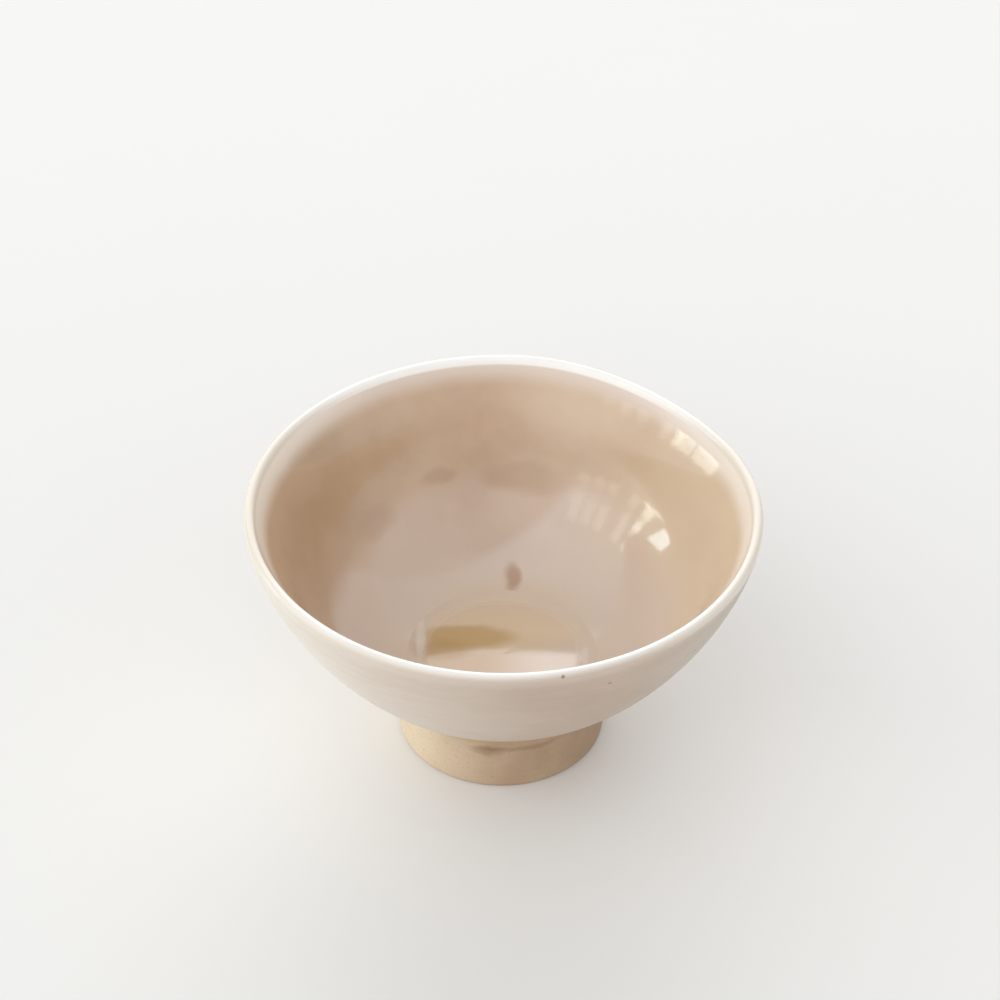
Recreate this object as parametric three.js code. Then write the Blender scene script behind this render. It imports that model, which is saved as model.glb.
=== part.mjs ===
// A hand-thrown footed porcelain cup: a wide thin bowl luted onto a bare clay foot ring.
// A satin glaze covers the outside, a glossy one the inside, a white one the lip,
// and the inside glaze has run together into a pool on the floor of the well.
// Millimetres, +Z up. The origin is the centre of the face that the foot stands on.
import * as THREE from 'three';

// Overall sizes, taken over the glaze.
const RIM_DIAMETER = 92;
const HEIGHT = 51;

// The bowl's wall: its thickness at both ends, and how its outside and inside curves leave each end.
const LIP_THICKNESS = 2;
const WALL_AT_FOOT = 3.1;
const RIM_LEAN = THREE.MathUtils.degToRad(12);
const RIM_SWEEP = 15.8;
const BELLY_SLOPE = THREE.MathUtils.degToRad(24);
const BELLY_SWEEP = 12.2;
const LIP_FLARE = THREE.MathUtils.degToRad(30);
const LIP_SWEEP = 12;
const WELL_SLOPE = THREE.MathUtils.degToRad(23);
const WELL_SWEEP = 15;

// The foot: a turned ring, a little wider at the table than at the top,
// where a narrow ledge is left outside the joint with the bowl.
const FOOT_HEIGHT = 13;
const FOOT_DIAMETER = 38.2;
const FOOT_TOP_DIAMETER = 37.8;
const FOOT_LEDGE = 0.3;
const FOOT_WALL = 4.6;
const FOOT_EDGE_RADIUS = 0.8;
const SLIP_THICKNESS = 0.36;
const SLIP_SETBACK = 0.3;

// The glaze coats, the bare clay band above the foot, and the pool in the well.
const OUTER_GLAZE = 0.35;
const INNER_GLAZE = 0.45;
const BARE_BAND = 2;
const POOL_DEPTH = 0.9;
const POOL_DROP = 0.4;

// Clearance between pieces that are fired onto each other.
const FIRED_GAP = 0.05;

// The rim sank a little on one side in the kiln.
const RIM_DIP = 1.8;
const RIM_DIP_AZIMUTH = THREE.MathUtils.degToRad(40);
const RIM_DIP_SPREAD = THREE.MathUtils.degToRad(48);

// Facets round the axis, along the wall, over the lip and round each edge of the foot.
const AROUND = 48;
const ALONG_WALL = 8;
const OVER_LIP = 8;
const ROUND_EDGE = 3;

const lipRadius = LIP_THICKNESS / 2;
const footRadius = FOOT_DIAMETER / 2;
const footTopRadius = FOOT_TOP_DIAMETER / 2;
const footBore = footTopRadius - FOOT_WALL;
const seatHeight = FOOT_HEIGHT + SLIP_THICKNESS + 2 * FIRED_GAP;

// A step of a given length from a point of the profile, at an angle above the horizontal.
function stepFrom(point, angle, length) {
  return new THREE.Vector2(Math.cos(angle), Math.sin(angle)).multiplyScalar(length).add(point);
}

// A curve up from one end to the other, each with the angle and the length of its sweep.
function sweptCurve(low, lowAngle, lowSweep, high, highAngle, highSweep) {
  const lowHandle = stepFrom(low, lowAngle, lowSweep);
  const highHandle = stepFrom(high, highAngle, -highSweep);
  return new THREE.CubicBezierCurve(low, lowHandle, highHandle, high);
}

// The lip is round: it turns over from the outside to the flared inside.
const upright = Math.PI / 2;
const lipCentre = new THREE.Vector2(RIM_DIAMETER / 2 - lipRadius, HEIGHT - lipRadius);
const lipOutsideAngle = -RIM_LEAN;
const lipInsideAngle = Math.PI - LIP_FLARE;

function lipPoint(angle, depth) {
  return stepFrom(lipCentre, angle, lipRadius - depth);
}

// The visible outside and inside of the bowl, both from the foot up to the lip.
const jointPoint = new THREE.Vector2(footTopRadius - FOOT_LEDGE, seatHeight);
const wellEdge = stepFrom(jointPoint, BELLY_SLOPE + upright, WALL_AT_FOOT);
const outside = sweptCurve(
  jointPoint, BELLY_SLOPE, BELLY_SWEEP,
  lipPoint(lipOutsideAngle, 0), upright - RIM_LEAN, RIM_SWEEP,
);
const inside = sweptCurve(
  wellEdge, WELL_SLOPE, WELL_SWEEP,
  lipPoint(lipInsideAngle, 0), upright - LIP_FLARE, LIP_SWEEP,
);

// A run of points along one of the two curves, moved sideways: to the left going up, if positive.
function wallRun(curve, from, to, sideways) {
  const points = [];
  for (let step = 0; step <= ALONG_WALL; step += 1) {
    const fraction = THREE.MathUtils.lerp(from, to, step / ALONG_WALL);
    const tangent = curve.getTangentAt(fraction);
    const left = new THREE.Vector2(-tangent.y, tangent.x);
    points.push(curve.getPointAt(fraction).addScaledVector(left, sideways));
  }
  return points;
}

// A run of points over the lip, from its outside to its inside, at a depth below its surface.
function lipRun(depthOutside, depthInside, endGap) {
  const points = [];
  for (let step = 0; step <= OVER_LIP; step += 1) {
    const share = step / OVER_LIP;
    const depth = THREE.MathUtils.lerp(depthOutside, depthInside, share);
    const endTurn = endGap / (lipRadius - depth);
    const angle = THREE.MathUtils.lerp(lipOutsideAngle + endTurn, lipInsideAngle - endTurn, share);
    points.push(lipPoint(angle, depth));
  }
  return points;
}

// A rounded corner: an arc about a centre, between two angles.
function cornerRun(centreX, centreY, radius, fromAngle, toAngle) {
  const arc = new THREE.EllipseCurve(centreX, centreY, radius, radius, fromAngle, toAngle);
  return arc.getPoints(ROUND_EDGE);
}

// How far a point of the bowl sank in the kiln: nothing at the foot, most at the rim on one side.
function kilnDip(x, y, z) {
  const away = Math.atan2(y, x) - RIM_DIP_AZIMUTH;
  const turn = Math.abs(Math.atan2(Math.sin(away), Math.cos(away)));
  const side = Math.cos(Math.min(turn / RIM_DIP_SPREAD, 1) * Math.PI / 2) ** 2;
  const rise = THREE.MathUtils.clamp((z - seatHeight) / (HEIGHT - seatHeight), 0, 1);
  return RIM_DIP * side * rise ** 2;
}

// Turns a closed profile about the upright axis into one named piece.
function turned(name, profile, material) {
  const geometry = new THREE.LatheGeometry(profile, AROUND);
  geometry.rotateX(Math.PI / 2);
  const position = geometry.getAttribute('position');
  for (let i = 0; i < position.count; i += 1) {
    const x = position.getX(i);
    const y = position.getY(i);
    const z = position.getZ(i);
    position.setZ(i, z - kilnDip(x, y, z));
  }
  geometry.computeVertexNormals();
  const mesh = new THREE.Mesh(geometry, material);
  mesh.name = name;
  return mesh;
}

function ringProfile(points) {
  return [...points, points[0].clone()];
}

function finish(color, roughness) {
  return new THREE.MeshStandardMaterial({ color, roughness, metalness: 0 });
}

const bareClay = finish(0xcfae84, 0.85);
const wallClay = finish(0xd9c6ab, 0.8);
const slipClay = finish(0xb98f66, 0.85);
const satinGlaze = finish(0xd8cab8, 0.45);
const glossGlaze = finish(0xc9ac90, 0.12);
const whiteGlaze = finish(0xf4f0e8, 0.15);
const poolGlaze = finish(0xbf9f72, 0.06);

// Foot ring: stands flat on the table, with both bottom edges rounded off.
const footFlatStart = footBore + FOOT_EDGE_RADIUS;
const footFlatEnd = footRadius - FOOT_EDGE_RADIUS;
const footRing = turned('foot_ring', ringProfile([
  ...cornerRun(footFlatStart, FOOT_EDGE_RADIUS, FOOT_EDGE_RADIUS, Math.PI, 1.5 * Math.PI),
  ...cornerRun(footFlatEnd, FOOT_EDGE_RADIUS, FOOT_EDGE_RADIUS, 1.5 * Math.PI, 2 * Math.PI),
  new THREE.Vector2(footTopRadius, FOOT_HEIGHT),
  new THREE.Vector2(footBore, FOOT_HEIGHT),
]), bareClay);

// Luting slip: the thin ring of liquid clay that bonds the foot to the bowl.
const slipBottom = FOOT_HEIGHT + FIRED_GAP;
const slipTop = slipBottom + SLIP_THICKNESS;
const slipInner = footBore + SLIP_SETBACK;
const slipOuter = jointPoint.x - SLIP_SETBACK;
const lutingSlip = turned('luting_slip', ringProfile([
  new THREE.Vector2(slipInner, slipBottom),
  new THREE.Vector2(slipOuter, slipBottom),
  new THREE.Vector2(slipOuter, slipTop),
  new THREE.Vector2(slipInner, slipTop),
]), slipClay);

// Where the coats begin and end along the wall, and the levels of the well.
const glazeLine = BARE_BAND / outside.getLength();
const outerCoatEnd = 1 - FIRED_GAP / outside.getLength();
const innerCoatEnd = 1 - FIRED_GAP / inside.getLength();
const poolTop = wellEdge.y - POOL_DROP;
const poolBottom = poolTop - POOL_DEPTH;
const wellFloor = poolBottom - FIRED_GAP;

// Bowl body: the thrown clay wall under the coats, with a flat underside and a sunk well.
const clayOutside = OUTER_GLAZE + FIRED_GAP;
const clayInside = INNER_GLAZE + FIRED_GAP;
const bowlBody = turned('bowl_body', [
  new THREE.Vector2(0, seatHeight),
  jointPoint,
  ...wallRun(outside, glazeLine, 1, clayOutside),
  ...lipRun(clayOutside, clayInside, 0).slice(1, -1),
  ...wallRun(inside, 1, 0, -clayInside),
  new THREE.Vector2(wellEdge.x, wellFloor),
  new THREE.Vector2(0, wellFloor),
], wallClay);

// Outer glaze: ends in a line above the foot and leaves a band of clay bare.
const outerGlaze = turned('outer_glaze', ringProfile([
  ...wallRun(outside, glazeLine, outerCoatEnd, 0),
  ...wallRun(outside, outerCoatEnd, glazeLine, OUTER_GLAZE),
]), satinGlaze);

// Inner glaze: lines the wall from the lip down to the edge of the well.
const innerGlaze = turned('inner_glaze', ringProfile([
  ...wallRun(inside, 0, innerCoatEnd, -INNER_GLAZE),
  ...wallRun(inside, innerCoatEnd, 0, 0),
]), glossGlaze);

// Lip glaze: the white bead over the rim.
const lipGlaze = turned('lip_glaze', ringProfile([
  ...lipRun(0, 0, FIRED_GAP),
  ...lipRun(OUTER_GLAZE, INNER_GLAZE, FIRED_GAP).reverse(),
]), whiteGlaze);

// Well glaze: the pool that lies level on the floor of the well.
const poolRadius = wellEdge.x - FIRED_GAP;
const wellGlaze = turned('well_glaze', [
  new THREE.Vector2(0, poolBottom),
  new THREE.Vector2(poolRadius, poolBottom),
  new THREE.Vector2(poolRadius, poolTop),
  new THREE.Vector2(0, poolTop),
], poolGlaze);

const cup = new THREE.Group();
cup.add(footRing, lutingSlip, bowlBody, outerGlaze, innerGlaze, lipGlaze, wellGlaze);

export default cup;
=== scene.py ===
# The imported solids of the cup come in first, as the fixed measure of everything below.
# All sizes are in metres, +Z up, and the foot stands on Z = 0.
import math

import bmesh
import bpy
from mathutils import Matrix, Vector, noise
from mathutils.geometry import interpolate_bezier


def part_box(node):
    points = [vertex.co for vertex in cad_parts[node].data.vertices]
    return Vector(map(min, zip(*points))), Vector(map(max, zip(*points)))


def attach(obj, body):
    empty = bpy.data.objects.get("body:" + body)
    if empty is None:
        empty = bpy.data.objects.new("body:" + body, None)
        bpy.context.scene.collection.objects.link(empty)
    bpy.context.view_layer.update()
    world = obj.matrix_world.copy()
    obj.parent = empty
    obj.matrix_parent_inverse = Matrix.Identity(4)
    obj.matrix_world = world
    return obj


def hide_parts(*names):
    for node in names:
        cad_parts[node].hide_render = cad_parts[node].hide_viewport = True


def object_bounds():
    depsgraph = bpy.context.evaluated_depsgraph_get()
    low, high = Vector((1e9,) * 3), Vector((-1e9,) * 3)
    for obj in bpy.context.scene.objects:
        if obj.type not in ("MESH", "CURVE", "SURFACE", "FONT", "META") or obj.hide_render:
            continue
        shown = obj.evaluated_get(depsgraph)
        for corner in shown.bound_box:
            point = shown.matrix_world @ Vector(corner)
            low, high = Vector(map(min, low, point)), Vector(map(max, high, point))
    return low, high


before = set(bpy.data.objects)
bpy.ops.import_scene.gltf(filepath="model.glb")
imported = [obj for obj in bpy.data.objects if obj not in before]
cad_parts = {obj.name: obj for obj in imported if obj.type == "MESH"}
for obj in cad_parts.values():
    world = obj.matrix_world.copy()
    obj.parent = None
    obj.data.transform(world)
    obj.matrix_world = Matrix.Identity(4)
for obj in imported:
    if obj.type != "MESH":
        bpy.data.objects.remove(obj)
cad_low, cad_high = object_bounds()


# Foot ring: a low collar of buff clay, turned on the wheel and left bare of glaze.
# Tool lines run round its side, a damp sponge has rounded its edges,
# and the bowl is luted onto its flat top.
MM = 0.001
AROUND = 240
MERGE_DISTANCE = 0.0005 * MM
SHARP_ANGLE = math.radians(50)

foot_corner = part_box("foot_ring")[1]
FOOT_RADIUS = foot_corner.x
FOOT_HEIGHT = foot_corner.z
FOOT_TAPER = 0.2 * MM
FOOT_WALL = 4.6 * MM
FOOT_EDGE = 0.8 * MM
FOOT_EDGE_POINTS = 8
FOOT_TOP_EDGE = 0.35 * MM
FOOT_TOP_EDGE_POINTS = 6
FOOT_SIDE_POINTS = 48
FOOT_WAIST = 0.22 * MM
FOOT_DENT = 0.12 * MM
FOOT_DENT_SIZE = 9 * MM
TOOL_LINE_PITCH = 1.25 * MM
TOOL_LINE_DEPTH = 0.035 * MM
TOOL_LINE_WANDER = 3

foot_top_radius = FOOT_RADIUS - FOOT_TAPER
foot_bore = foot_top_radius - FOOT_WALL


def mm(*sizes):
    """Sizes or a place given in millimetres, in metres."""
    return [size * MM for size in sizes]


def shade(red, green, blue):
    """A colour as a paint chart gives it, from 0 to 255, as the shader wants it."""
    def linear(level):
        level = level / 255
        return level / 12.92 if level <= 0.04045 else ((level + 0.055) / 1.055) ** 2.4
    return (linear(red), linear(green), linear(blue), 1)


BUFF = shade(186, 161, 136)
DEEP_BUFF = shade(175, 149, 122)
# Paler buff: painted light on the lit left side of the foot.
PAINTED_LIGHT_BUFF = shade(231, 213, 186)
# Greyer buff: painted shade on the right side of the foot, away from the light.
PAINTED_SHADE_BUFF = shade(160, 138, 118)
FLECK_BROWN = shade(152, 121, 90)
DARK_BROWN = shade(126, 95, 66)
OCHRE_AND_SHADE = shade(178, 152, 115)


def arc(centre, radius, start, end, count):
    """Points of a profile round a centre, between two angles in degrees."""
    angles = [math.radians(start + (end - start) * step / count) for step in range(count + 1)]
    return [Vector(centre) + radius * Vector((math.cos(a), math.sin(a))) for a in angles]


def straight(start, end, count):
    """Points of a profile along a straight run, without its two ends."""
    return [Vector(start).lerp(Vector(end), step / count) for step in range(1, count)]


def turned(profile, on_axis=False, marks=None):
    """Spins a profile of (radius, height) points about the upright axis into a bmesh.
    Marks, where given, are one number for each point, kept on the vertices as 'mark'."""
    work = bmesh.new()
    layer = work.verts.layers.float.new("mark")
    chain = [work.verts.new((point.x, 0, point.y)) for point in profile]
    for vert, mark in zip(chain, marks or []):
        vert[layer] = mark
    links = list(zip(chain, chain[1:]))
    if not on_axis:
        links.append((chain[-1], chain[0]))
    for link in links:
        work.edges.new(link)
    bmesh.ops.spin(
        work, geom=work.verts[:] + work.edges[:], cent=(0, 0, 0), axis=(0, 0, 1),
        angle=2 * math.pi, steps=AROUND, use_merge=True,
    )
    bmesh.ops.remove_doubles(work, verts=work.verts, dist=MERGE_DISTANCE)
    bmesh.ops.recalc_face_normals(work, faces=work.faces)
    return work


def finished(work, name, node, finish):
    """Makes a bmesh into a piece of the cup that stands for its CAD node."""
    for face in work.faces:
        face.smooth = True
    mesh = bpy.data.meshes.new(name)
    work.to_mesh(mesh)
    work.free()
    mesh.set_sharp_from_angle(angle=SHARP_ANGLE)
    mesh.materials.append(finish.owner)
    piece = bpy.data.objects.new(name, mesh)
    bpy.context.scene.collection.objects.link(piece)
    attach(piece, "root")
    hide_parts(node)


class Wire:
    """One output of a node. Sums with wires and numbers add Math nodes to the same finish."""

    def __init__(self, finish, socket):
        self.finish = finish
        self.socket = socket

    def maths(self, operation, *values):
        """The result of one sum on wires and numbers."""
        return self.finish.node("Math", {"operation": operation}, dict(enumerate(values)))

    def __add__(self, other):
        return self.maths("ADD", self, other)

    def __radd__(self, other):
        return self.maths("ADD", other, self)

    def __sub__(self, other):
        return self.maths("SUBTRACT", self, other)

    def __rsub__(self, other):
        return self.maths("SUBTRACT", other, self)

    def __mul__(self, other):
        return self.maths("MULTIPLY", self, other)

    def __rmul__(self, other):
        return self.maths("MULTIPLY", other, self)


class Finish:
    """The nodes of a material, or of the sky, laid out by their expressions."""

    def __init__(self, owner, coordinates="Object"):
        self.owner = owner
        owner.use_nodes = True
        self.tree = owner.node_tree
        self.tree.nodes.clear()
        self.place = self.node("TexCoord", output=coordinates)

    def node(self, kind, settings=None, sockets=None, output=0):
        """A node of one type, with its settings made first and then its sockets fed."""
        made = self.tree.nodes.new("ShaderNode" + kind)
        for name, value in (settings or {}).items():
            setattr(made, name, value)
        for key, value in (sockets or {}).items():
            if isinstance(value, Wire):
                self.tree.links.new(value.socket, made.inputs[key])
            else:
                made.inputs[key].default_value = value
        return Wire(self, made.outputs[output]) if made.outputs else None

    def vector(self, operation, *values, output="Vector"):
        """A sum on whole places or directions, such as their difference or their length."""
        return self.node("VectorMath", {"operation": operation}, dict(enumerate(values)), output)

    def along(self, axis, place=None):
        """The X, Y or Z of the place on the piece, or of another place."""
        return self.node("SeparateXYZ", None, {0: place or self.place}, output=axis)

    def mark(self):
        """The number that the vertices of the piece keep as 'mark'."""
        return self.node("Attribute", {"attribute_name": "mark"}, output="Fac")

    def cloud(self, size, detail=3, roughness=0.5, place=None, output=0):
        """Soft noise from 0 to 1, with blooms of about the given size."""
        place = place or self.place
        sockets = {"Vector": place, "Scale": 1 / size, "Detail": detail, "Roughness": roughness}
        return self.node("TexNoise", None, sockets, output)

    def ramp(self, value, start, end):
        """A smooth rise from 0 at the start to 1 at the end, which may also lie below the start."""
        return self.node("MapRange", {"interpolation_type": "SMOOTHSTEP"}, {0: value, 1: start, 2: end})

    def mix(self, share, first, second):
        """The first colour, giving way to the second where the share is 1."""
        return self.node("Mix", {"data_type": "RGBA"}, {0: share, 6: first, 7: second}, output=2)

    def layered(self, colour, layers):
        """A first colour under others, each of which covers those before it where its share is 1."""
        for share, cover in layers:
            colour = self.mix(share, colour, cover)
        return colour

    def wandering(self, reach, size):
        """The place on the piece, led astray by noise, for patches with an uneven edge."""
        drift = self.cloud(size, output="Color")
        centred = self.vector("SUBTRACT", drift, (0.5, 0.5, 0.5))
        strayed = self.vector("MULTIPLY", centred, [2 * reach] * 3)
        return self.vector("ADD", self.place, strayed)

    def patch(self, centre, half_sizes, soft, place=None):
        """A soft-edged oval, 1 inside and 0 outside, about a point of the piece."""
        away = self.vector("SUBTRACT", place or self.place, centre)
        scaled = self.vector("DIVIDE", away, half_sizes)
        length = self.vector("LENGTH", scaled, output="Value")
        return self.ramp(length, 1 + soft, 1 - soft)

    def bump(self, height, distance, strength):
        """A normal for the surface, from a height of 0 to 1 that stands for a real distance."""
        return self.node("Bump", None, {"Height": height, "Distance": distance, "Strength": strength})

    def surface(self, sockets):
        """Ends a material with one shader, whose sockets are given by name."""
        shader = self.node("BsdfPrincipled", None, sockets)
        self.node("OutputMaterial", None, {"Surface": shader})


side_bottom = (FOOT_RADIUS, FOOT_EDGE)
side_top = (foot_top_radius, FOOT_HEIGHT - FOOT_TOP_EDGE)
foot = turned([
    *arc((foot_bore + FOOT_EDGE, FOOT_EDGE), FOOT_EDGE, 180, 270, FOOT_EDGE_POINTS),
    *arc((FOOT_RADIUS - FOOT_EDGE, FOOT_EDGE), FOOT_EDGE, 270, 360, FOOT_EDGE_POINTS),
    *straight(side_bottom, side_top, FOOT_SIDE_POINTS),
    *arc((foot_top_radius - FOOT_TOP_EDGE, side_top[1]), FOOT_TOP_EDGE, 0, 90, FOOT_TOP_EDGE_POINTS),
    *arc((foot_bore + FOOT_TOP_EDGE, side_top[1]), FOOT_TOP_EDGE, 90, 180, FOOT_TOP_EDGE_POINTS),
])
for vert in foot.verts:
    radius = vert.co.xy.length
    if radius > foot_top_radius - FOOT_TOP_EDGE:
        bulge = math.sin(math.pi * vert.co.z / FOOT_HEIGHT)
        drift = noise.noise(vert.co / FOOT_DENT_SIZE)
        line = math.sin(2 * math.pi * vert.co.z / TOOL_LINE_PITCH + TOOL_LINE_WANDER * drift)
        inward = bulge * (FOOT_WAIST + TOOL_LINE_DEPTH * line + FOOT_DENT * abs(drift))
        vert.co.xy *= 1 - inward / radius

bare = Finish(bpy.data.materials.new("bare_buff_clay"))
bloom = bare.cloud(9 * MM, detail=4)
fleck = bare.cloud(0.45 * MM, detail=2)
grain = bare.cloud(0.7 * MM, detail=4, roughness=0.65)
uneven = bare.wandering(0.9 * MM, 2.6 * MM)
# Painted light: the left side of the foot, which faces the light, is painted paler.
painted_light_left = bare.patch(mm(-22, -4, 6), mm(18, 19, 14), 0.6)
# Painted shade: the right side of the foot, away from the light, is painted greyer.
painted_shade_right = bare.patch(mm(17, -9, 5), mm(13, 13, 12), 0.7)
# A dark brown spot and a darker line on the front of the foot, just below the bowl.
dark_spot = bare.patch(mm(-2.3, -18.8, 8.6), mm(2.4, 3, 1), 0.7, uneven)
dark_line = bare.patch(mm(5, -18.2, 9.1), mm(7.5, 4, 0.5), 0.7, uneven)
# An ochre band at the top of the foot: partly the clay's own tint, partly painted shade under the bowl.
ochre_and_shade_band = bare.ramp(bare.along("Z"), *mm(9.6, 10.6))
foot_tone = bare.layered(BUFF, [
    (bare.ramp(bloom, 0.34, 0.68), DEEP_BUFF),
    (painted_light_left, PAINTED_LIGHT_BUFF),
    (painted_shade_right * 0.35, PAINTED_SHADE_BUFF),
    (bare.ramp(fleck, 0.56, 0.74) * 0.25, FLECK_BROWN),
    (dark_spot * 0.45 + dark_line * 0.35, DARK_BROWN),
    (ochre_and_shade_band * 0.35, OCHRE_AND_SHADE),
])
bare.surface({
    "Base Color": foot_tone,
    "Roughness": 0.78 + 0.14 * fleck,
    "Specular IOR Level": 0.3,
    "Normal": bare.bump(grain, 0.12 * MM, 0.6),
})
finished(foot, "foot_collar", "foot_ring", bare)


# Luting slip: liquid clay brushed between the foot and the bowl, which bonds them in the firing.
# It squeezes out as a thin smeared fillet all round the joint.
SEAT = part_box("bowl_body")[0].z
FOOT_LEDGE = 0.3 * MM
FILLET_SETBACK = 0.1 * MM
FILLET_BORE_SETBACK = 0.05 * MM
FILLET_HOLLOW = 0.14 * MM
FILLET_POINTS = 8
FILLET_SMEAR = 0.09 * MM
FILLET_SMEAR_SIZE = 3 * MM
PALE_SLIP = shade(190, 158, 124)
DARK_SLIP = shade(150, 116, 84)

joint = Vector((foot_top_radius - FOOT_LEDGE, SEAT))
slip_bore = foot_bore + FILLET_BORE_SETBACK


def fillet(low, high, hollow):
    """A shallow hollow run between two points, bowed sideways by the given depth."""
    run = [Vector(low), *straight(low, high, FILLET_POINTS), Vector(high)]
    for step, point in enumerate(run):
        point.x += hollow * math.sin(math.pi * step / FILLET_POINTS)
    return run


slip = turned([
    *fillet((foot_top_radius - FILLET_SETBACK, FOOT_HEIGHT), joint, -FILLET_HOLLOW),
    *fillet((slip_bore, SEAT), (slip_bore, FOOT_HEIGHT), FILLET_HOLLOW),
])
for vert in slip.verts:
    radius = vert.co.xy.length
    vert.co.xy *= 1 + FILLET_SMEAR * noise.noise(vert.co / FILLET_SMEAR_SIZE) / radius

smear = Finish(bpy.data.materials.new("smeared_slip"))
streaks = smear.cloud(2.2 * MM, detail=4)
smear.surface({
    "Base Color": smear.mix(streaks, PALE_SLIP, DARK_SLIP),
    "Roughness": 0.8 + 0.15 * streaks,
    "Specular IOR Level": 0.3,
    "Normal": smear.bump(streaks, 0.15 * MM, 0.7),
})
finished(slip, "slip_fillet", "luting_slip", smear)


# Bowl wall: the thrown body of the cup, fine pale clay under its coats of glaze.
# It is bare only in a narrow band above the foot and on the underside inside the foot,
# where the turning tool has left rings.
RIM_RADIUS = cad_high.x
CUP_HEIGHT = cad_high.z
LIP_RADIUS = 1 * MM
LIP_UNDER_POINTS = 10
WALL_AT_FOOT = 3.1 * MM
RIM_LEAN = 12
RIM_SWEEP = 15.8 * MM
BELLY_SLOPE = 24
BELLY_SWEEP = 12.2 * MM
LIP_FLARE = 30
LIP_SWEEP = 12 * MM
WELL_SLOPE = 23
WELL_SWEEP = 15 * MM
WALL_POINTS = 132
COVERED_STEP = 6
OUTER_COAT = 0.35 * MM
INNER_COAT = 0.6 * MM
BARE_BAND = 2 * MM
WELL_DROP = 0.4 * MM
POOL_DEPTH = 0.9 * MM
RIM_DIP = 1.8 * MM
RIM_DIP_AZIMUTH = math.radians(40)
RIM_DIP_SPREAD = math.radians(48)
OUT_OF_ROUND = 0.16 * MM
OUT_OF_ROUND_TURN = 0.6
TURNING_RING_PITCH = 1.7 * MM
TURNING_RING_DEPTH = 0.07 * MM
UNDERSIDE_POINTS = 64
PALE_CLAY = shade(222, 204, 178)
DEEP_CLAY = shade(203, 178, 148)
CLAY_FLECK = shade(170, 138, 104)

lip_centre = Vector((RIM_RADIUS - LIP_RADIUS, CUP_HEIGHT - LIP_RADIUS))
lip_outside_angle = -RIM_LEAN
lip_inside_angle = 180 - LIP_FLARE


def stepped(point, angle, length):
    """A point at a distance from another, at an angle in degrees above the horizontal."""
    turn = math.radians(angle)
    return point + length * Vector((math.cos(turn), math.sin(turn)))


def swept(low, low_angle, low_sweep, high, high_angle, high_sweep):
    """Points up a curve that leaves its low end and meets its high end at the given angles."""
    handles = stepped(low, low_angle, low_sweep), stepped(high, high_angle, -high_sweep)
    return interpolate_bezier(low, *handles, high, WALL_POINTS)


def lengths(run):
    """How far each point of a run lies from its first, along the run."""
    total = [0.0]
    for start, end in zip(run, run[1:]):
        total.append(total[-1] + (end - start).length)
    return total


def shifted(run, depths):
    """A run moved to its left, each point by its own depth."""
    moved = []
    for step, (point, depth) in enumerate(zip(run, depths)):
        along = run[min(step + 1, len(run) - 1)] - run[max(step - 1, 0)]
        moved.append(point + depth * Vector((-along.y, along.x)).normalized())
    return moved


def settled(work):
    """Lets the rim of a piece sink on one side and go a little out of round, as it did in the kiln."""
    for vert in work.verts:
        azimuth = math.atan2(vert.co.y, vert.co.x)
        turn = abs(math.remainder(azimuth - RIM_DIP_AZIMUTH, 2 * math.pi))
        side = math.cos(min(turn / RIM_DIP_SPREAD, 1) * math.pi / 2) ** 2
        rise = min(max((vert.co.z - SEAT) / (CUP_HEIGHT - SEAT), 0), 1)
        vert.co.xy *= 1 + OUT_OF_ROUND * rise * math.cos(2 * azimuth - OUT_OF_ROUND_TURN) / RIM_RADIUS
        vert.co.z -= RIM_DIP * side * rise ** 2
    work.normal_update()
    return work


def turning_rings():
    """The underside from the axis out to the foot, with the rings that the tool left."""
    run = []
    for step in range(UNDERSIDE_POINTS + 1):
        share = step / UNDERSIDE_POINTS
        ring = math.sin(2 * math.pi * foot_bore * share / TURNING_RING_PITCH) * TURNING_RING_DEPTH
        run.append(Vector((foot_bore * share, SEAT + ring * (1 - share))))
    return run


well_edge = stepped(joint, BELLY_SLOPE + 90, WALL_AT_FOOT)
lip_outside = stepped(lip_centre, lip_outside_angle, LIP_RADIUS)
lip_inside = stepped(lip_centre, lip_inside_angle, LIP_RADIUS)
outside = swept(joint, BELLY_SLOPE, BELLY_SWEEP, lip_outside, 90 - RIM_LEAN, RIM_SWEEP)
inside = swept(well_edge, WELL_SLOPE, WELL_SWEEP, lip_inside, 90 - LIP_FLARE, LIP_SWEEP)
outside_lengths = lengths(outside)
pool_bottom = well_edge.y - WELL_DROP - POOL_DEPTH

clay_outside = shifted(outside, [OUTER_COAT * min(d / BARE_BAND, 1) for d in outside_lengths])
clay_inside = shifted(inside, [-INNER_COAT] * len(inside))
lip_under = arc(lip_centre, LIP_RADIUS - INNER_COAT, lip_outside_angle, lip_inside_angle, LIP_UNDER_POINTS)
bare_count = sum(d < 2 * BARE_BAND for d in outside_lengths)
wall = settled(turned([
    *turning_rings(),
    *clay_outside[:bare_count],
    *clay_outside[bare_count::COVERED_STEP],
    *lip_under,
    *clay_inside[::-COVERED_STEP],
    Vector((well_edge.x, pool_bottom)),
    Vector((0, pool_bottom)),
], on_axis=True))

clay = Finish(bpy.data.materials.new("pale_wall_clay"))
bloom = clay.cloud(7 * MM, detail=4)
fleck = clay.cloud(0.4 * MM, detail=2)
grain = clay.cloud(0.6 * MM, detail=4, roughness=0.65)
wall_tone = clay.layered(PALE_CLAY, [
    (clay.ramp(bloom, 0.35, 0.68), DEEP_CLAY),
    (clay.ramp(fleck, 0.62, 0.72) * 0.5, CLAY_FLECK),
])
clay.surface({
    "Base Color": wall_tone,
    "Roughness": 0.78 + 0.14 * fleck,
    "Specular IOR Level": 0.3,
    "Normal": clay.bump(grain, 0.1 * MM, 0.6),
})
finished(wall, "bowl_wall", "bowl_body", clay)
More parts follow.
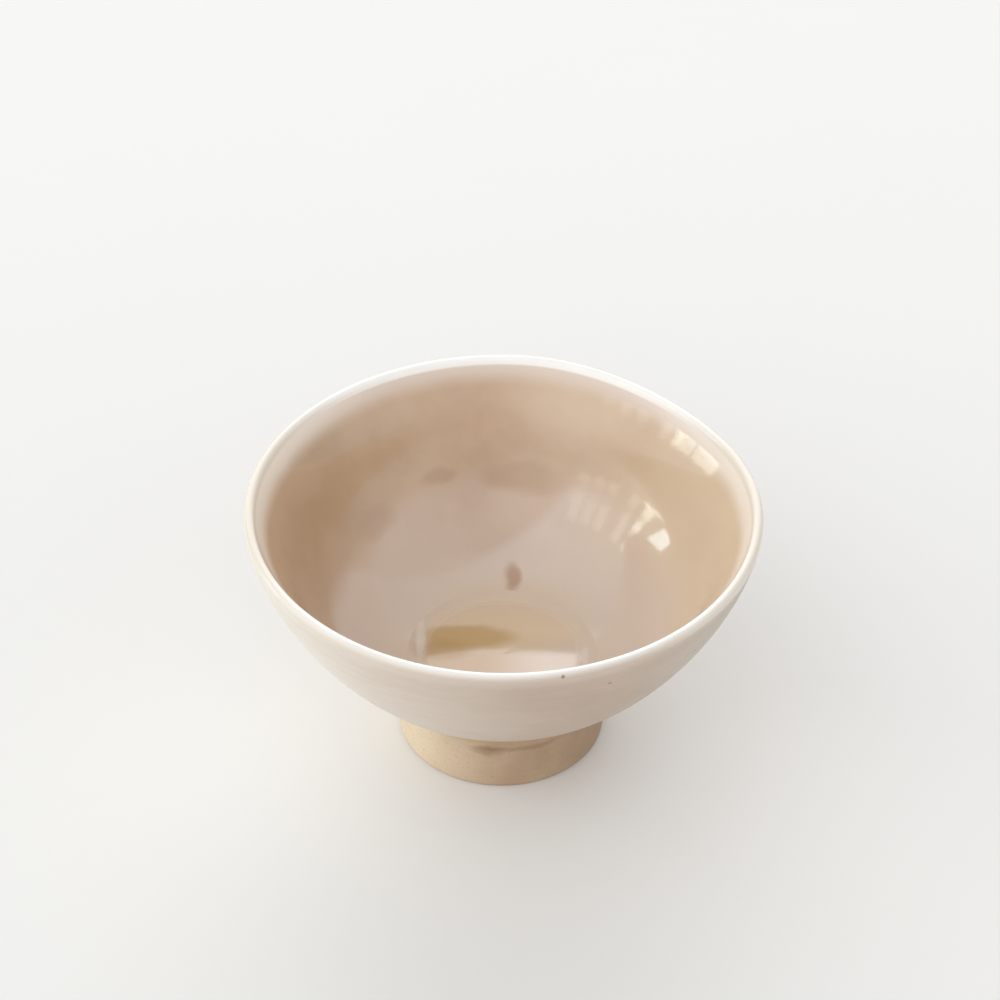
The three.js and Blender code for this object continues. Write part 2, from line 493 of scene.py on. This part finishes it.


# Outer glaze: a thin satin coat of beige, dipped over the outside of the bowl.
# Its cream on the left side is painted light, and its greyer beige on the right is painted sheen.
# Throwing lines show through it below the rim, it whitens where it thins at the top,
# and it ends in a rolled, wavering line above the foot.
GLAZE_LINE_WAVE = 0.55 * MM
GLAZE_LINE_REACH = 6 * MM
LONG_WAVES = 2.3
SHORT_WAVES = 7.1
ROLL_POINTS = 8
THROWING_PITCH = 1.9 * MM
THROWING_HEIGHT = 0.035 * MM
THROWING_REACH = 24 * MM
THROWING_FADE = 2 * MM
THROWING_LEAST = 0.25
THROWING_WANDER = 2.5
THROWING_WANDER_SIZE = 14 * MM
LINE_STRETCH = (0.12, 0.12, 1)
PINHOLE_SPACING = 7 * MM
THIN_RIM = 2.4 * MM
# Painted light: the left side of the cup, which faces the light, is painted a paler cream, here and on the
# lip.
PAINTED_LIGHT_SIDE = (mm(-44, -8, 34), mm(40, 40, 40), 0.75)
BEIGE = shade(192, 173, 157)
DEEP_BEIGE = shade(186, 166, 149)
CREAM = shade(238, 231, 220)
# A lighter, greyer beige: painted sheen on the right side of the cup.
PAINTED_SHEEN_BEIGE = shade(199, 192, 182)
LINE_BEIGE = shade(168, 149, 131)
RIM_WHITE = shade(250, 250, 248)
SPECK_BROWN = shade(128, 98, 70)

# The mark of a vertex that lies against the clay, out of sight.
HIDDEN = -1.0

outer_start = next(step for step, d in enumerate(outside_lengths) if d >= BARE_BAND)
outer_run = outside[outer_start:]
outer_under = shifted(outer_run, [OUTER_COAT] * len(outer_run))
outer_lengths = lengths(outer_run)
outer_total = outer_lengths[-1]
first_step = outer_run[1] - outer_run[0]
roll_slope = math.degrees(math.atan2(first_step.y, first_step.x))
roll_centre = (outer_run[0] + outer_under[0]) / 2
roll = arc(roll_centre, OUTER_COAT / 2, roll_slope + 90, roll_slope + 270, ROLL_POINTS)[1:-1]
hidden_side = outer_under[::-COVERED_STEP] + [outer_under[0]]
outer_marks = [outer_total - d for d in outer_lengths]
outer_marks += [HIDDEN] * len(hidden_side)
outer_marks += [outer_total] * len(roll)

outer = turned([*outer_run, *hidden_side, *roll], marks=outer_marks)
outer.normal_update()
mark = outer.verts.layers.float["mark"]
line_direction = stepped(Vector((0, 0)), roll_slope, 1)
for vert in outer.verts:
    around = vert.co.copy()
    around.z = 0
    around.normalize()
    below_lip = vert[mark]
    if below_lip > HIDDEN:
        near_rim = max(1 - below_lip / THROWING_REACH, THROWING_LEAST)
        drift = noise.noise(vert.co / THROWING_WANDER_SIZE)
        ridge = math.sin(2 * math.pi * below_lip / THROWING_PITCH + THROWING_WANDER * drift)
        height = THROWING_HEIGHT * ridge * (min(below_lip / THROWING_FADE, 1) * near_rim)
        vert.co += vert.normal * height
    above_line = max(outer_total - below_lip, 0)
    reach = max(1 - above_line / GLAZE_LINE_REACH, 0) ** 2
    wave = noise.noise(around * LONG_WAVES) + 0.5 * noise.noise(around * SHORT_WAVES)
    slide = GLAZE_LINE_WAVE * wave * reach
    vert.co += around * (slide * line_direction.x)
    vert.co.z += slide * line_direction.y
settled(outer)

satin = Finish(bpy.data.materials.new("satin_cream_glaze"))
bloom = satin.cloud(16 * MM, detail=4)
lines = satin.cloud(1.1 * MM, place=satin.vector("MULTIPLY", satin.place, LINE_STRETCH))
cells = {"Vector": satin.place, "Scale": 1 / PINHOLE_SPACING}
cell_distance = satin.node("TexVoronoi", None, cells, output="Distance")
cell_colour = satin.node("TexVoronoi", None, cells, output="Color")
chosen = satin.ramp(satin.node("SeparateColor", None, {0: cell_colour}), 0.72, 0.74)
pinholes = satin.ramp(cell_distance, 0.045, 0.02) * chosen
speck = satin.patch(mm(18.2, -40.9, 45.8), mm(0.35, 0.8, 0.35), 0.4)
# Painted sheen: the right side of the cup is painted a lighter, greyer beige.
painted_light_right = satin.patch(mm(44, -14, 38), mm(22, 22, 24), 0.6)
coat_tone = satin.layered(BEIGE, [
    (satin.ramp(bloom, 0.34, 0.68), DEEP_BEIGE),
    # painted light on the lit left side
    (satin.patch(*PAINTED_LIGHT_SIDE), CREAM),
    (painted_light_right * 0.6, PAINTED_SHEEN_BEIGE),
    (satin.ramp(lines, 0.42, 0.62) * 0.08, LINE_BEIGE),
    (satin.ramp(satin.mark(), THIN_RIM, 0) * 0.14, RIM_WHITE),
    (pinholes * 0.6 + speck * 0.5, SPECK_BROWN),
])
ripple = 0.6 * lines + 0.4 * satin.cloud(1.6 * MM)
satin.surface({
    "Base Color": coat_tone,
    "Roughness": 0.34 + 0.14 * bloom,
    "IOR": 1.5,
    "Normal": satin.bump(ripple, 0.06 * MM, 0.5),
})
finished(outer, "outer_coat", "outer_glaze", satin)


# Inner glaze: a thick glossy coat, tan above and a milky rose lower down, which is painted reflection of
# the bright sky.
# The wall keeps a faint swell from throwing and one finger mark, which bend what the coat mirrors,
# and the coat is pale under the lip, partly as painted reflection, with a few darker brownish spots
# of painted reflection and one brown blot. Patches of painted light lighten its right side and lower left,
# a patch of painted shade dims its upper left, and its lower right holds more painted reflection.
RIPPLE_SIZE = 13 * MM
RIPPLE_HEIGHT = 0.03 * MM
SWELL_PITCH = 17 * MM
SWELL_HEIGHT = 0.19 * MM
SWELL_START = 4.6 * MM
SWELL_CALM = 22 * MM
SWELL_END = 32 * MM
FINGER_AZIMUTH = math.radians(23)
FINGER_SPREAD = math.radians(7)
FINGER_BELOW_LIP = 24 * MM
FINGER_SIZE = 4.2 * MM
FINGER_DEPTH = 0.55 * MM
LIP_FADE = 2.5 * MM
WELL_FADE = 3 * MM
TOE_POINTS = 6
ROSE_FADE = mm(20.5, 26)
ROSE_LAG = 4 * MM
# The slant of a brighter band of painted reflection in the rose.
BRIGHT_BAND_SLANT = 0.473
HONEY_START = 34 * MM
HONEY_EDGE_WIDTH = 4 * MM
LIP_MIST_FADE = mm(5.2, 0.6)
SIDE_CREAM_FADE = mm(6, 0.5)
RIM_FADE = mm(1, 0.4)
# Darker brownish spots at the top edge of the rose: painted reflection of darker things above the cup.
DARK_REFLECTION_SPOTS = [
    (mm(-12.1, 31.7, 32.1), mm(3.2, 4, 1.2)),
    (mm(-23.8, 21.2, 29.2), mm(4.4, 4.8, 2.2)),
    (mm(3.4, 33.4, 31.3), mm(7, 5, 2.4)),
]
TAN = shade(200, 172, 145)
DEEP_TAN = shade(190, 161, 132)
PAINTED_SHADE_TAN = shade(176, 146, 116)
ROSE = shade(210, 188, 174)
DEEP_ROSE = shade(203, 180, 164)
REFLECTION_ROSE = shade(222, 208, 201)
DARK_REFLECTION_BROWN = shade(178, 145, 118)
PALE_HONEY = shade(226, 208, 190)
DEEP_HONEY = shade(222, 202, 174)
BLOT_BROWN = shade(172, 130, 100)
PAINTED_LIGHT_RIGHT_CREAM = shade(226, 206, 180)
FAR_CREAM = shade(230, 210, 186)
PAINTED_LIGHT_MIST = shade(228, 211, 197)
PAINTED_REFLECTION_MIST = shade(226, 210, 199)
LIP_MIST_AND_REFLECTION = shade(228, 216, 207)
PAINTED_LIGHT_SIDE_CREAM = shade(248, 239, 227)
PAINTED_SHADE_SIDE_RIM = shade(234, 225, 213)

inside_lengths = lengths(inside)
inner_total = inside_lengths[-1]
toe = arc(clay_inside[0], INNER_COAT, 180, 90 + WELL_SLOPE, TOE_POINTS)[:-1]
hidden_side = clay_inside[::-COVERED_STEP] + [clay_inside[0]]
inner_marks = [inner_total] * len(toe)
inner_marks += [inner_total - d for d in inside_lengths]
inner_marks += [HIDDEN] * len(hidden_side)

inner = turned([*toe, *inside, *hidden_side], marks=inner_marks)
inner.normal_update()
mark = inner.verts.layers.float["mark"]
for vert in inner.verts:
    below_lip = vert[mark]
    if below_lip > HIDDEN:
        fade = min(below_lip / LIP_FADE, (inner_total - below_lip) / WELL_FADE, 1)
        wave = math.sin(2 * math.pi * (below_lip - SWELL_START) / SWELL_PITCH)
        calmed = (SWELL_END - below_lip) / (SWELL_END - SWELL_CALM)
        swell = SWELL_HEIGHT * wave * min(max(calmed, 0), 1)
        ripple = RIPPLE_HEIGHT * noise.noise(vert.co / RIPPLE_SIZE)
        aside = (math.atan2(vert.co.y, vert.co.x) - FINGER_AZIMUTH) / FINGER_SPREAD
        down = (below_lip - FINGER_BELOW_LIP) / FINGER_SIZE
        finger = FINGER_DEPTH * down * math.exp(-(aside ** 2 + down ** 2) / 2)
        vert.co += vert.normal * (fade * (swell + ripple + finger))
settled(inner)

gloss = Finish(bpy.data.materials.new("glossy_tan_glaze"))
below = gloss.mark()
across = gloss.along("X")
depth = gloss.along("Y")
bloom = gloss.cloud(11 * MM, detail=4)
haze = gloss.cloud(24 * MM, detail=2)
fine = gloss.cloud(0.8 * MM, detail=2)
uneven = gloss.wandering(1.6 * MM, 7 * MM)
# Painted shade: the upper left of the inner wall, which faces away from the light, is painted a dimmer
# tan.
painted_shade_left = gloss.patch(mm(-37, 6, 37), mm(15, 26, 13), 0.7)
# Painted light: low on the left of the inner wall, a paler patch stands in for light.
painted_light_left_low = gloss.patch(mm(-17, 8, 21), mm(15, 19, 11), 0.7)
# Painted light: the right of the inner wall, which faces the light, is painted a paler cream.
painted_light_right = gloss.patch(mm(36, 6, 32), mm(26, 30, 20), 0.7)
# Painted reflection: low on the right of the inner wall, a bluer milky patch stands in for the mirrored
# sky.
painted_reflection_right_low = gloss.patch(mm(22, 2, 21), mm(13, 18, 9), 0.7)
far_right = gloss.patch(mm(14, 40, 44), mm(11, 9, 6), 0.8)
blot = gloss.patch(mm(1.6, 19.1, 17.4), mm(1.4, 2.5, 4), 0.55, uneven)
dark_reflections = sum(gloss.patch(centre, half_sizes, 0.5, uneven) for centre, half_sizes in DARK_REFLECTION_SPOTS)
# The milky rose is painted reflection of the bright sky over the tan; its wandering edge, set here, is
# where that sky starts to show.
left_lag = gloss.ramp(across, *mm(-16, -32)) * ROSE_LAG
rose_reflection_edge = below + (haze - 0.5) * (7 * MM) + (bloom - 0.5) * (5 * MM) - left_lag
rose_reflection = gloss.ramp(rose_reflection_edge, *ROSE_FADE) * (1 - dark_reflections)
# Painted reflection: a brighter slanting band of the rose on the far wall, where the glaze mirrors the
# brightest sky.
slant = across * BRIGHT_BAND_SLANT - depth + (bloom - 0.5) * (2.4 * MM)
painted_reflection_band = gloss.ramp(slant, *mm(-26, -23)) * gloss.ramp(across, *mm(36, 10)) * rose_reflection
sideways = gloss.ramp(across * across, (18 * MM) ** 2, (42 * MM) ** 2)
inner_tone = gloss.layered(TAN, [
    (gloss.ramp(bloom, 0.32, 0.7), DEEP_TAN),
    (painted_shade_left * 0.35, PAINTED_SHADE_TAN),
    (rose_reflection * 0.7, gloss.mix(gloss.ramp(bloom, 0.35, 0.7), ROSE, DEEP_ROSE)),
    (painted_reflection_band * 0.6, REFLECTION_ROSE),
    (dark_reflections * 0.52, DARK_REFLECTION_BROWN),
    (gloss.ramp(below, HONEY_START, inner_total) * 0.6, PALE_HONEY),
    (gloss.ramp(below, inner_total - HONEY_EDGE_WIDTH, inner_total) * 0.5, DEEP_HONEY),
    (blot * 0.75, BLOT_BROWN),
    (painted_light_right * 0.8, PAINTED_LIGHT_RIGHT_CREAM),
    (far_right * 0.4, FAR_CREAM),
    (painted_light_left_low * 0.58, PAINTED_LIGHT_MIST),
    (painted_reflection_right_low * 0.6, PAINTED_REFLECTION_MIST),
    # A pale band under the lip: partly paler glaze, partly painted reflection.
    (gloss.ramp(below, *LIP_MIST_FADE) * 0.85, LIP_MIST_AND_REFLECTION),
    # Painted light: the band under the lip is painted paler at both sides of the cup.
    (gloss.ramp(below, *SIDE_CREAM_FADE) * sideways * 0.9, PAINTED_LIGHT_SIDE_CREAM),
    # Painted shade: the white top of the coat is painted creamier at both sides of the cup.
    (gloss.ramp(below, *RIM_FADE), gloss.mix(sideways, RIM_WHITE, PAINTED_SHADE_SIDE_RIM)),
])
gloss.surface({
    "Base Color": inner_tone,
    "Roughness": 0.07 + 0.05 * bloom,
    "IOR": 1.65,
    "Normal": gloss.bump(fine, 0.02 * MM, 0.25),
})
finished(inner, "inner_coat", "inner_glaze", gloss)


# Lip glaze: a white glossy bead, rounded over the rim, where the two coats meet.
# It is dipped on last and is whitest over the top; its creamier tone at both sides of the cup is painted
# shade, and its outer edge takes on the beige of the outer coat, painted lighter on the left and right as
# painted light.
LIP_POINTS = 40
MILK_WHITE = shade(240, 234, 224)
PAINTED_SHADE_WHITE = shade(230, 221, 208)
EDGE_BEIGE = shade(201, 184, 169)
PAINTED_LIGHT_EDGE_CREAM = shade(236, 229, 217)

lip_over = arc(lip_centre, LIP_RADIUS, lip_outside_angle, lip_inside_angle, LIP_POINTS)
lip_marks = [step / LIP_POINTS for step in range(LIP_POINTS + 1)]
lip_marks += [HIDDEN] * len(lip_under)
lip = settled(turned([*lip_over, *reversed(lip_under)], marks=lip_marks))

bead = Finish(bpy.data.materials.new("white_lip_glaze"))
across = bead.along("X")
bloom = bead.cloud(12 * MM, detail=4)
fine = bead.cloud(0.7 * MM, detail=2)
painted_light_right = bead.ramp(across, *mm(18, 44))
# Painted shade: the bead is painted creamier at both sides of the cup.
sideways = bead.ramp(across * across, (26 * MM) ** 2, (45 * MM) ** 2)
speck = bead.patch(mm(10.2, -44.8, 50.4), mm(0.3, 0.8, 0.3), 0.4)
# Painted light: the outer edge is painted paler on the left and right sides.
outer_edge = bead.mix(bead.patch(*PAINTED_LIGHT_SIDE) + painted_light_right * 0.75, EDGE_BEIGE, PAINTED_LIGHT_EDGE_CREAM)
over_top = bead.layered(RIM_WHITE, [
    (bead.ramp(bloom, 0.4, 0.75) * 0.4, MILK_WHITE),
    (sideways, PAINTED_SHADE_WHITE),
])
bead_tone = bead.layered(outer_edge, [
    (bead.ramp(bead.mark(), 0.12, 0.68), over_top),
    (speck * 0.8, SPECK_BROWN),
])
bead.surface({
    "Base Color": bead_tone,
    "Roughness": 0.1 + 0.08 * bloom,
    "IOR": 1.6,
    "Normal": bead.bump(fine, 0.015 * MM, 0.3),
})
finished(lip, "lip_bead", "lip_glaze", bead)


# Well glaze: where the inside glaze has run together on the floor of the bowl.
# It lies all but level, honey-coloured with an amber part where it is deep,
# and ends in a thin film up to the wall, where it merges with the inner coat.
# Its pale front is partly the sky it mirrors and partly painted reflection, its back is painted
# lighter as painted light, and pale streaks at its left and right edges are painted highlights.
POOL_CLEARANCE = 0.02 * MM
POOL_SINK = 0.62 * MM
POOL_FILLET = 0.15 * MM
POOL_TILT = math.radians(1.15)
POOL_POINTS = 64
POOL_EDGE_CROWDING = 1.6
FILM_CLEARANCE = 0.01 * MM
SURFACE_SWELL = 0.007 * MM
SURFACE_SWELL_SIZE = 7 * MM
POOL_PALE = shade(218, 199, 183)
POOL_HONEY = shade(216, 194, 160)
PAINTED_LIGHT_POOL_BACK = shade(232, 212, 184)
FRONT_LEFT = shade(211, 183, 149)
FRONT_RIGHT = shade(238, 223, 211)
FILM_TONE = shade(221, 202, 184)
TAIL_BROWN = shade(190, 155, 104)
AMBER = shade(192, 157, 98)
PAINTED_HIGHLIGHT_WHITE = shade(240, 230, 223)

pool_radius = well_edge.x - POOL_CLEARANCE
pool_level = well_edge.y - POOL_SINK


def pool_run():
    """The pool from the wall to the axis, with closer points where it turns up to the wall."""
    steps = [step / POOL_POINTS for step in range(POOL_POINTS + 1)]
    return [Vector((pool_radius * (1 - step ** POOL_EDGE_CROWDING), pool_level)) for step in steps]


pool = turned([
    Vector((0, pool_bottom)),
    Vector((pool_radius, pool_bottom)),
    *pool_run(),
], on_axis=True)
for vert in pool.verts:
    if vert.co.z > (pool_bottom + pool_level) / 2:
        from_wall = pool_radius - vert.co.xy.length
        film = well_edge.y - FILM_CLEARANCE - from_wall * math.tan(math.radians(WELL_SLOPE))
        swell = SURFACE_SWELL * noise.noise(vert.co / SURFACE_SWELL_SIZE)
        level = vert.co.z - math.tan(POOL_TILT) * vert.co.y + swell
        vert.co.z = (film + level + math.hypot(film - level, POOL_FILLET)) / 2
settled(pool)

honey = Finish(bpy.data.materials.new("honey_pool_glaze"))
bloom = honey.cloud(6 * MM)
fine = honey.cloud(1.2 * MM, detail=2)
uneven = honey.wandering(0.5 * MM, 3 * MM)
drifting = honey.wandering(1.1 * MM, 6 * MM)
across = honey.along("X", uneven)
depth = honey.along("Y", uneven)
reach = honey.vector("LENGTH", honey.vector("MULTIPLY", honey.place, (1, 1, 0)), output="Value")
deep = honey.patch((*mm(-1.6, 4.6), pool_level), mm(11.5, 7.5, 9), 0.6)
amber = honey.patch((*mm(-6.6, 4.7), pool_level), mm(8.6, 3.3, 9), 0.32, drifting)
tail = honey.patch((*mm(-11, 0.8), pool_level), mm(5, 2.8, 9), 0.45, drifting)
# Painted highlights: pale streaks at the left and right edges of the pool.
painted_highlight_left = honey.patch((*mm(-15.1, 4), pool_level), mm(0.8, 5, 9), 0.5, uneven)
painted_highlight_right = honey.patch((*mm(15.3, -0.4), pool_level), mm(0.8, 2.4, 9), 0.5, uneven)
# Painted light: the back of the pool, shaded by the wall, is painted lighter.
painted_light_behind = honey.ramp(depth, *mm(1, 7))
# Painted reflection: the front of the pool is painted pale, adding to the sky that it mirrors.
painted_reflection_front = honey.ramp(depth, *mm(2, -1)) * honey.ramp(reach, *mm(15.5, 13))
reflection_front_tone = honey.mix(honey.ramp(across, *mm(-5, 9)), FRONT_LEFT, FRONT_RIGHT)
film_edge = honey.ramp(reach, *mm(13.6, 17.4))
rough_edge = honey.ramp(reach, *mm(13.4, 15))
pool_tone = honey.layered(POOL_PALE, [
    (deep * 0.75, POOL_HONEY),
    (painted_light_behind * 0.6, PAINTED_LIGHT_POOL_BACK),
    (painted_reflection_front * 0.85, reflection_front_tone),
    (film_edge, FILM_TONE),
    (tail * 0.7, TAIL_BROWN),
    (amber * 0.7, AMBER),
    (painted_highlight_left * 0.5 + painted_highlight_right * 0.4, PAINTED_HIGHLIGHT_WHITE),
])
honey.surface({
    "Base Color": pool_tone,
    "Roughness": 0.04 + 0.04 * bloom + 0.42 * rough_edge,
    "IOR": 1.65,
    "Normal": honey.bump(fine, 0.01 * MM, 0.06),
})
finished(pool, "well_pool", "well_glaze", honey)


# Table: a plain matt sheet of pale paper under the cup, which takes its soft shadow.
# It lies flat under the foot, and it is painted a little lighter towards the back, as painted light that
# falls off towards the front.
TABLE_SIZE = 2.5
PAINTED_FALLOFF = mm(-120, 280)
PAPER_FRONT = shade(234, 234, 233)
PAPER_BACK = shade(241, 241, 241)
PAPER_TONE = shade(237, 237, 236)

sheet = bmesh.new()
bmesh.ops.create_grid(sheet, x_segments=1, y_segments=1, size=TABLE_SIZE)
table_mesh = bpy.data.meshes.new("table")
sheet.to_mesh(table_mesh)
sheet.free()
table = bpy.data.objects.new("table", table_mesh)
bpy.context.scene.collection.objects.link(table)

paper = Finish(bpy.data.materials.new("matt_white_paper"))
paper_tone = paper.layered(PAPER_FRONT, [
    (paper.ramp(paper.along("Y"), *PAINTED_FALLOFF), PAPER_BACK),
    (paper.cloud(60 * MM) * 0.3, PAPER_TONE),
])
paper.surface({
    "Base Color": paper_tone,
    "Roughness": 0.9,
    "Specular IOR Level": 0.1,
})
table_mesh.materials.append(paper.owner)


# Studio light: feathered patches of sky give the cup its soft light and its shadow on the table.
# Small panes and slats stand on its left, each given by its direction, its angular size and its
# brightness beside a white sheet, and the glossy inside of the bowl mirrors them as highlights.
BOX_DISTANCE = 1.5
EVEN_GLOW = 0.5
SKY_WHITE = (1.0, 0.995, 0.985, 1)
PANE_GREEN = (0.9, 1.0, 0.84)
PALE_GREEN = (0.92, 1.0, 0.86)
FAINT_GREEN = (0.92, 1.0, 0.88)
PANE_BLUE = (0.8, 0.97, 1.0)
PANE_ROSE = (1.0, 0.96, 0.94)
SLAT_ROSE = (1.0, 0.93, 0.88)
SLAT_NAMES = ["first_slat", "second_slat", "third_slat"]
SLAT_AZIMUTH = 206
SLAT_ELEVATION = 27
SLAT_STEP_ROUND = 9
SLAT_STEP_UP = 2


def direction(azimuth, elevation):
    """A direction out from the cup; angles are in degrees, from +X round to +Y."""
    turn, lift = math.radians(azimuth), math.radians(elevation)
    return Vector((math.cos(turn) * math.cos(lift), math.sin(turn) * math.cos(lift), math.sin(lift)))


def soft_box(name, place, size, brightness, colour, roll=0):
    """A rectangular lamp that faces the cup. Its place is an azimuth and an elevation,
    and its size is how wide and how high it looks from the cup, in degrees."""
    towards = direction(*place)
    wide, high = size
    lamp = bpy.data.lights.new(name, "AREA")
    lamp.shape = "RECTANGLE"
    lamp.size = 2 * BOX_DISTANCE * math.tan(math.radians(wide / 2))
    lamp.size_y = 2 * BOX_DISTANCE * math.tan(math.radians(high / 2))
    lamp.energy = brightness * math.pi * lamp.size * lamp.size_y
    lamp.color = colour
    box = bpy.data.objects.new(name, lamp)
    facing = towards.to_track_quat("Z", "Y").to_matrix() @ Matrix.Rotation(math.radians(roll), 3, "Z")
    box.matrix_world = Matrix.Translation(towards * BOX_DISTANCE) @ facing.to_4x4()
    bpy.context.scene.collection.objects.link(box)


soft_box("upper_pane", place=(179.5, 17.8), size=(13, 1.8), brightness=4.6, colour=PANE_GREEN, roll=20)
soft_box("high_pane", place=(181, 21.6), size=(4.6, 4.6), brightness=4.6, colour=PALE_GREEN)
soft_box("lower_pane", place=(163.7, 11), size=(17, 1.7), brightness=4.6, colour=FAINT_GREEN, roll=26)
soft_box("bright_pane", place=(163.5, 21.4), size=(13, 5.6), brightness=5.4, colour=PANE_BLUE)
soft_box("narrow_pane", place=(191, 23.5), size=(5, 6), brightness=1.3, colour=PANE_ROSE)
for step, name in enumerate(SLAT_NAMES):
    slat_place = (SLAT_AZIMUTH + step * SLAT_STEP_ROUND, SLAT_ELEVATION + step * SLAT_STEP_UP)
    soft_box(name, place=slat_place, size=(6, 5), brightness=1.1, colour=SLAT_ROSE)

sky = Finish(bpy.data.worlds.new("studio"), "Generated")


def glow(place, reach, brightness):
    """A round feathered patch of sky about a place, which fades out at its reach in degrees."""
    facing = sky.vector("DOT_PRODUCT", sky.place, direction(*place), output="Value")
    return sky.ramp(facing, math.cos(math.radians(reach)), 1) * brightness


back_glow = glow(place=(92, 20), reach=46, brightness=2.1)
left_glow = glow(place=(222, 18), reach=75, brightness=0.85)
right_glow = glow(place=(325, 10), reach=50, brightness=0.6)
top_glow = glow(place=(262, 60), reach=42, brightness=0.35)
strength = EVEN_GLOW + back_glow + (left_glow + right_glow) + top_glow
sky_light = sky.node("Background", None, {"Color": SKY_WHITE, "Strength": strength})
sky.node("OutputWorld", None, {"Surface": sky_light})
bpy.context.scene.world = sky.owner
bpy.context.scene.view_settings.view_transform = "Standard"


# Camera: looks down on the cup across the table through a long lens, rolled by a hair.
# It aims at the middle of the rim, which lies a few pixels off the middle of the picture.
VIEW_ELEVATION = math.radians(38.85)
VIEW_ROLL = math.radians(0.70)
VIEW_DISTANCE = 0.532
SENSOR_WIDTH = 36
LENS_LENGTH = 108
NEAREST_SEEN = 0.01
IMAGE_SIZE = 1000
RIM_CENTRE_PIXEL = (503.7, 504.7)
RIM_CENTRE = Vector(mm(0, 0, 51))

eye_back = Vector((0, -math.cos(VIEW_ELEVATION), math.sin(VIEW_ELEVATION)))
optics = bpy.data.cameras.new("camera")
optics.sensor_width = SENSOR_WIDTH
optics.lens = LENS_LENGTH
optics.shift_x = (IMAGE_SIZE / 2 - RIM_CENTRE_PIXEL[0]) / IMAGE_SIZE
optics.shift_y = (RIM_CENTRE_PIXEL[1] - IMAGE_SIZE / 2) / IMAGE_SIZE
optics.clip_start = NEAREST_SEEN
camera = bpy.data.objects.new("camera", optics)
aim = eye_back.to_track_quat("Z", "Y").to_matrix() @ Matrix.Rotation(VIEW_ROLL, 3, "Z")
camera.matrix_world = Matrix.Translation(RIM_CENTRE + eye_back * VIEW_DISTANCE) @ aim.to_4x4()
bpy.context.scene.collection.objects.link(camera)
bpy.context.scene.camera = camera
